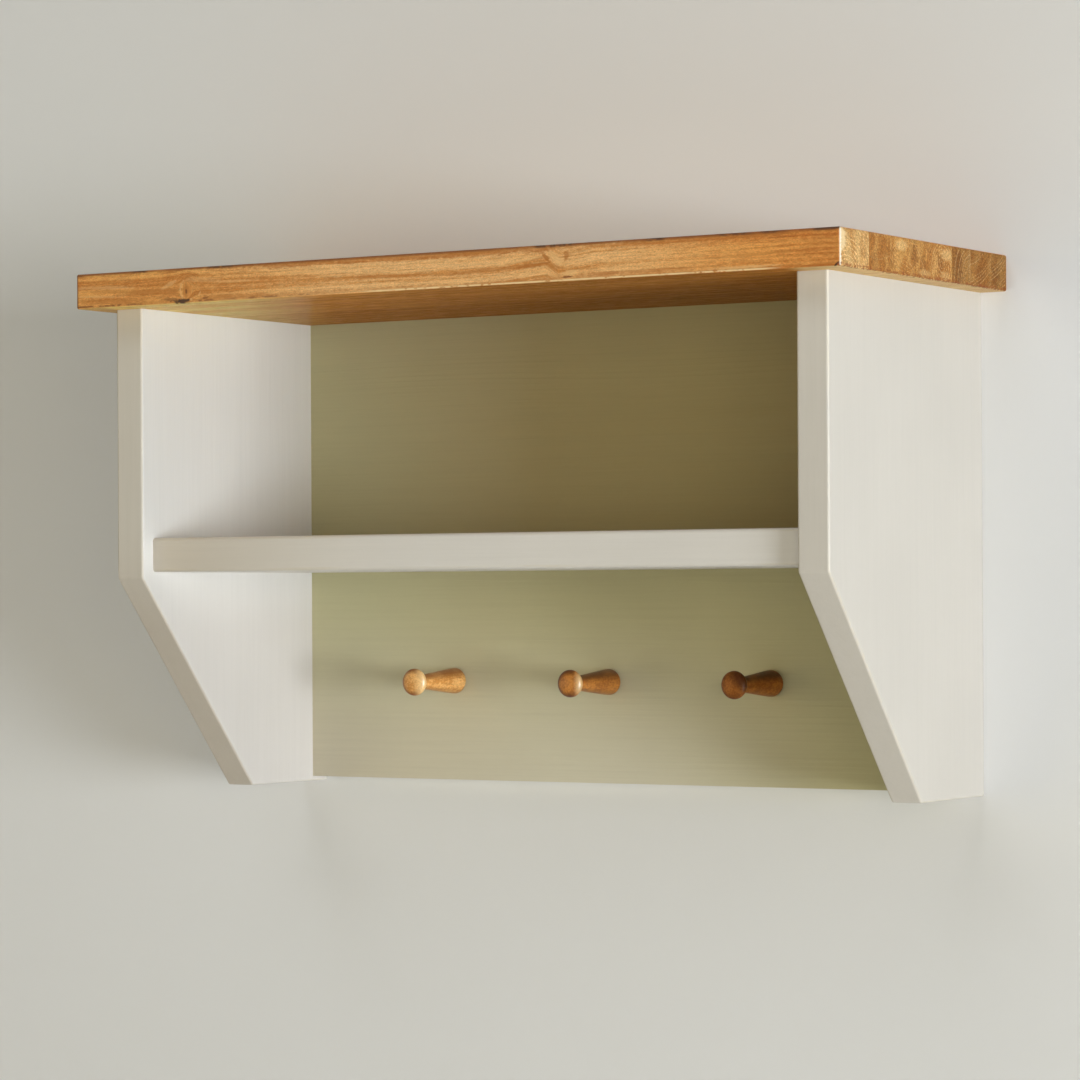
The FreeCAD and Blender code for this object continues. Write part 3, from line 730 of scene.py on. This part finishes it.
def stained_peg(node, colours_with_painted_light, coat, seed, rubbing_and_highlight, highlight_from, highlight_middle, head_shade_strength):
    """Satin-lacquered turned hardwood, its grain along the peg."""
    light, dark, deep = colours_with_painted_light
    s = Shader("stain_" + node, light, 0.36, Specular_IOR_Level=0.1, Coat_Weight=coat, Coat_Roughness=0.36)
    low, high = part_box(node)
    axis = (low + high) / 2
    x, y, z = s.split(s.place)
    pith = (axis.x + PEG_PITH[0], axis.z + PEG_PITH[1])
    _, late = growth_rings(s, s.place, Y, pith, width=0.0026, wander=0.006, shift=seed, raggedness=0.7)
    fibres = s.noise(grain(Y, 60.0, 1100.0), seed + 1.0, roughness=0.6)
    pores = s.noise(grain(Y, 420.0, 1500.0), seed + 2.0)
    clouds = s.noise(grain(Y, 60.0, 120.0), seed + 3.0)
    mottle = s.noise(grain(Y, 380.0, 620.0), seed + 4.0)
    share = s.add(
        s.times(late, 0.22),
        s.fade(clouds, 0.40, 0.60, 0.0, 0.65),
        s.fade(mottle, 0.36, 0.64, -0.25, 0.40),
    )
    colour = s.mix(s.limit(share), light, dark)
    colour = s.shade(colour, s.fade(fibres, 0.25, 0.75, 0.88, 1.10))
    colour = s.mix(s.fade(pores, 0.54, 0.68, 0.0, 0.35), colour, PORES)

    # stain gathers where the head and neck meet and at the foot; the head's rim, most at its left, the neck's
    # top and its underside are darkened as painted shade, and so is the right peg's head towards its upper
    # right
    across = s.minus(x, axis.x)
    up = s.minus(z, axis.z)
    out = s.reach(across, up)
    lean = s.over(up, s.most(out, 0.001))
    past_head = s.minus(y, low.y + HEAD_LENGTH)
    head = s.fall(past_head, *HEAD_BORDER)
    stem = s.rest(head)
    rim = s.times(s.fade(out, *RIM), head, s.fade(across, *RIM_PALING, 0.95, 0.15))
    rim = s.times(rim, 1.0 - 0.6 * head_shade_strength)
    upper = s.times(s.fade(lean, 0.05, 0.80), stem, 0.88)
    lower = s.times(s.fade(lean, -0.55, -0.95), stem, 0.45 * (1.0 - head_shade_strength))
    upper_right = s.add(s.times(across, HEAD_SHADE_WAY[0]), s.times(up, HEAD_SHADE_WAY[1]))
    head_shade = s.times(s.fade(upper_right, *HEAD_SHADE_REACH), head, head_shade_strength)
    neck = s.times(s.fall(s.size(past_head), *NECK_LINE), 0.5)
    foot = s.times(s.fade(s.minus(y, BACK_PANEL_FRONT), *FOOT_LINE), 0.5)
    stain_and_painted_shade = s.most(rim, upper, lower, neck, foot, head_shade)
    colour = s.mix(s.times(stain_and_painted_shade, s.fade(clouds, 0.25, 0.50, 0.70, 1.0)), colour, deep)

    # a painted highlight lightens the right of the head
    highlight_share = s.fade(across, highlight_from, HIGHLIGHT_RIGHT)
    highlight_share = s.times(highlight_share, s.fade(out, 0.0, HIGHLIGHT_RADIUS, highlight_middle, 1.0))
    highlight_share = s.times(highlight_share, head, s.fade(clouds, 0.25, 0.60, 0.7, 1.0), rubbing_and_highlight)
    colour = s.mix(highlight_share, colour, PAINTED_HIGHLIGHT)
    turning = s.calc("SINE", s.times(y, math.tau / TURNING_PITCH))
    s.bump(s.add(fibres, s.times(turning, 0.12)), distance=0.00014, strength=0.4)
    return s.finish(Base_Color=colour, Roughness=s.fade(fibres, 0.3, 0.7, 0.30, 0.44))


def bare_beech(name):
    """Machined beech dowel stock with short dark flecks."""
    s = Shader(name, (0.66, 0.50, 0.33), 0.6)
    fleck = s.noise(700.0, 1.0)
    clouds = s.noise(60.0, 2.0, detail=1.0)
    colour = s.mix(clouds, (0.68, 0.51, 0.33), (0.60, 0.43, 0.26))
    colour = s.mix(s.times(s.fade(fleck, 0.6, 0.7), 0.6), colour, (0.42, 0.26, 0.14))
    s.bump(fleck, distance=0.0002, strength=0.5)
    return s.finish(Base_Color=colour, Roughness=s.fade(fleck, 0.3, 0.7, 0.52, 0.68))


def zinc_steel(name):
    """Bright zinc plate with fine drawn scratches and a little dulling."""
    s = Shader(name, (0.60, 0.60, 0.58), 0.35, Metallic=1.0)
    scratches = s.noise(grain(Z, 2600.0, 160.0), 1.0)
    clouds = s.noise(150.0, 2.0, detail=3.0)
    colour = s.mix(s.fade(clouds, 0.35, 0.7), (0.66, 0.66, 0.65), (0.52, 0.53, 0.53))
    rough = s.add(s.fade(clouds, 0.3, 0.7, 0.26, 0.44), s.times(scratches, 0.08))
    s.bump(scratches, distance=0.00006, strength=0.5)
    return s.finish(Base_Color=colour, Roughness=rough)


finishes = {
    # the left side's paint goes over to a darker copy below the shelf, as painted shade
    "left_side_panel": painted_pine(
        "paint_left_side", PAINT, Z, (-0.33, -0.10), 10.0, side_arris, painted_shading=((Z, -0.10, -0.20, SHADED_LOWER_PAINT),)
    ),
    # the right side's paint is a darker copy of the left side's, as painted shade
    "right_side_panel": painted_pine("paint_right_side", SHADED_RIGHT_PAINT, Z, (0.270, -0.17), 20.0, side_arris),
    "shelf": painted_pine(
        "paint_shelf", SHELF_PAINT, X, (-0.15, -0.20), 30.0, shelf_arris, front_shade=0.58, front_light=0.0
    ),
    # the back panel's paints are painted shade all over, with painted light below and a painted shadow of the
    # right side towards the right
    "back_panel": painted_pine(
        "paint_back_panel", SHADED_BACK_PAINT, X, (0.05, -0.12), 40.0, telling=1.3,
        painted_shading=(
            (X, -0.29, -0.10, SHADED_MIDDLE_BACK_PAINT),
            (Z, -0.15, -0.33, LIT_LOWER_BACK_PAINT),
            (X, 0.0, 0.27, SHADOWED_RIGHT_BACK_PAINT),
        ),
        rear=SHADED_MIDDLE_BACK_PAINT,
    ),
}
for node, look in PEGS.items():
    finishes[node] = stained_peg(node, **look)
for number, stave in enumerate(STAVES, start=1):
    finishes[f"top_board_stave_{number}"] = waxed_pine(f"wax_stave_{number}", number, *stave)
beech = bare_beech("beech")
steel = zinc_steel("zinc")
for name, piece in nodes.items():
    spare = beech if "dowels" in name else steel
    for slot in piece.material_slots:
        slot.material = finishes.get(name, spare)


def sheet(name, corners, material):
    """A flat stage surface."""
    mesh = bpy.data.meshes.new(name)
    mesh.from_pydata(corners, [], [tuple(range(len(corners)))])
    mesh.materials.append(material)
    piece = bpy.data.objects.new(name, mesh)
    bpy.context.scene.collection.objects.link(piece)


def backdrop(name, colour):
    """A matt pale surface that shows on its front only, so that the object can be seen from behind.
    Rays that start within a millimetre of it pass too, so that the light there reaches the rear."""
    s = Shader(name, colour, 0.9, Specular_IOR_Level=0.2)
    behind = s.node("ShaderNodeNewGeometry", {}).outputs["Backfacing"]
    near = s.calc("LESS_THAN", s.node("ShaderNodeLightPath", {}).outputs["Ray Length"], 0.001)
    clear = s.node("ShaderNodeBsdfTransparent", {}).outputs[0]
    inputs = {0: s.most(behind, near), 1: s.surface.outputs[0], 2: clear}
    blend = s.node("ShaderNodeMixShader", inputs).outputs[0]
    s.tree.links.new(blend, s.tree.nodes["Material Output"].inputs["Surface"])
    return s.material


WALL_COLOUR = (0.82, 0.82, 0.82)
WALL_PLACE = 0.0003
WALL_HALF = 7
WALL_TOP = 4
FLOOR_HALF = 5
FLOOR_LEVEL = -2.2
pale = backdrop("pale_backdrop", WALL_COLOUR)
wall_corners = [
    (-WALL_HALF, WALL_PLACE, FLOOR_LEVEL),
    (WALL_HALF, WALL_PLACE, FLOOR_LEVEL),
    (WALL_HALF, WALL_PLACE, WALL_TOP),
    (-WALL_HALF, WALL_PLACE, WALL_TOP),
]
floor_corners = [
    (-FLOOR_HALF, -FLOOR_HALF, FLOOR_LEVEL),
    (FLOOR_HALF, -FLOOR_HALF, FLOOR_LEVEL),
    (FLOOR_HALF, FLOOR_HALF, FLOOR_LEVEL),
    (-FLOOR_HALF, FLOOR_HALF, FLOOR_LEVEL),
]
sheet("wall", wall_corners, pale)
sheet("floor", floor_corners, pale)

# what the lamps face, and their colours
MIDDLE = Vector((0, -0.12, -0.11))
WARM = (1.0, 0.86, 0.52)
WHITE = (0.97, 1.015, 1.04)
SOFT_WHITE = (1.0, 0.97, 0.93)


def lamp(name, azimuth, elevation, distance, width, height, level, colour, gloss_only=False, matt_only=False):
    """A soft rectangular lamp that faces the object, unseen by the camera. Its azimuth counts from
    the front towards the right. At level 1 a white surface that faces it renders white."""
    light = bpy.data.lights.new(name, "AREA")
    light.shape = "RECTANGLE"
    light.size = width
    light.size_y = height
    light.energy = level * (math.pi * distance) ** 2
    light.color = colour
    turn = math.radians(azimuth)
    rise = math.radians(elevation)
    way = Vector((math.sin(turn) * math.cos(rise), -math.cos(turn) * math.cos(rise), math.sin(rise)))
    piece = bpy.data.objects.new(name, light)
    aim = (-way).to_track_quat("-Z", "Y").to_matrix().to_4x4()
    piece.matrix_world = Matrix.Translation(MIDDLE + way * distance) @ aim
    piece.visible_camera = False
    piece.visible_diffuse = not gloss_only
    piece.visible_glossy = not matt_only
    bpy.context.scene.collection.objects.link(piece)


# name, azimuth and elevation in degrees, distance, width and height in metres, level, colour
lamp("key", 63.5, -4, 9, 1.8, 1.9, 0.352, WHITE)
lamp("key_side", 74, -3, 9, 1.6, 1.9, 0.256, WHITE)
lamp("key_near", 70, -4, 2.6, 0.5, 0.6, 0.08, WHITE)
lamp("turned_fill", 40, 0, 2.6, 0.6, 0.6, 0.085, WARM)
lamp("high_fill", -10, 50, 6, 3.2, 2.6, 0.222, WHITE)
lamp("front_fill", -34, -2, 6, 4.2, 3.0, 0.175, WARM)
lamp("window_glint", 70, 2, 3.6, 0.8, 3.0, 6.0, WHITE, gloss_only=True)
lamp("rear", 200, 25, 4, 2.5, 2.5, 0.85, SOFT_WHITE, matt_only=True)

# The world gives a little even light. The camera, glossy rays and transmission rays see it as a
# pale room.
AMBIENT_COLOUR = (1.0, 0.96, 0.90)
AMBIENT_LEVEL = 0.02
ROOM_COLOUR = (0.82, 0.80, 0.77)
world = bpy.data.worlds.new("studio")
bpy.context.scene.world = world
world.use_nodes = True
world_nodes = world.node_tree.nodes
ambient = world_nodes["Background"]
ambient.inputs[0].default_value = (*AMBIENT_COLOUR, 1)
ambient.inputs[1].default_value = AMBIENT_LEVEL
seen = world_nodes.new("ShaderNodeBackground")
seen.inputs[0].default_value = (*ROOM_COLOUR, 1)
paths = world_nodes.new("ShaderNodeLightPath")
world_mix = world_nodes.new("ShaderNodeMixShader")
links = world.node_tree.links
shown = paths.outputs["Is Camera Ray"]
for kind in ("Is Glossy Ray", "Is Transmission Ray"):
    either = world_nodes.new("ShaderNodeMath")
    either.operation = "MAXIMUM"
    links.new(shown, either.inputs[0])
    links.new(paths.outputs[kind], either.inputs[1])
    shown = either.outputs[0]
links.new(shown, world_mix.inputs[0])
links.new(ambient.outputs[0], world_mix.inputs[1])
links.new(seen.outputs[0], world_mix.inputs[2])
links.new(world_mix.outputs[0], world_nodes["World Output"].inputs[0])

# The camera stands level while the object hangs a third of a degree out of level, so the camera's
# axes are turned by that much in the object's frame.
PHOTO_SIDE = 1080
FOCAL_PIXELS = 3757.75
HORIZON_ROW = 584.06
CAMERA_PLACE = (1.54178, -2.59534, -0.16660)
CAMERA_TURN = 0.55821
HANG_TILT = -0.00629
SENSOR = 36.0
tilt = Matrix.Rotation(-HANG_TILT, 3, "Y")
right = tilt @ Vector((math.cos(CAMERA_TURN), math.sin(CAMERA_TURN), 0))
ahead = tilt @ Vector((-math.sin(CAMERA_TURN), math.cos(CAMERA_TURN), 0))
above = tilt @ Vector((0, 0, 1))
camera_data = bpy.data.cameras.new("camera")
camera_data.sensor_width = SENSOR
camera_data.lens = FOCAL_PIXELS / PHOTO_SIDE * SENSOR
camera_data.shift_y = (HORIZON_ROW - PHOTO_SIDE / 2) / PHOTO_SIDE
camera = bpy.data.objects.new("camera", camera_data)
stand = Matrix((right, above, -ahead)).transposed().to_4x4()
stand.translation = CAMERA_PLACE
camera.matrix_world = stand
bpy.context.scene.collection.objects.link(camera)
bpy.context.scene.camera = camera
bpy.context.scene.view_settings.view_transform = "Standard"
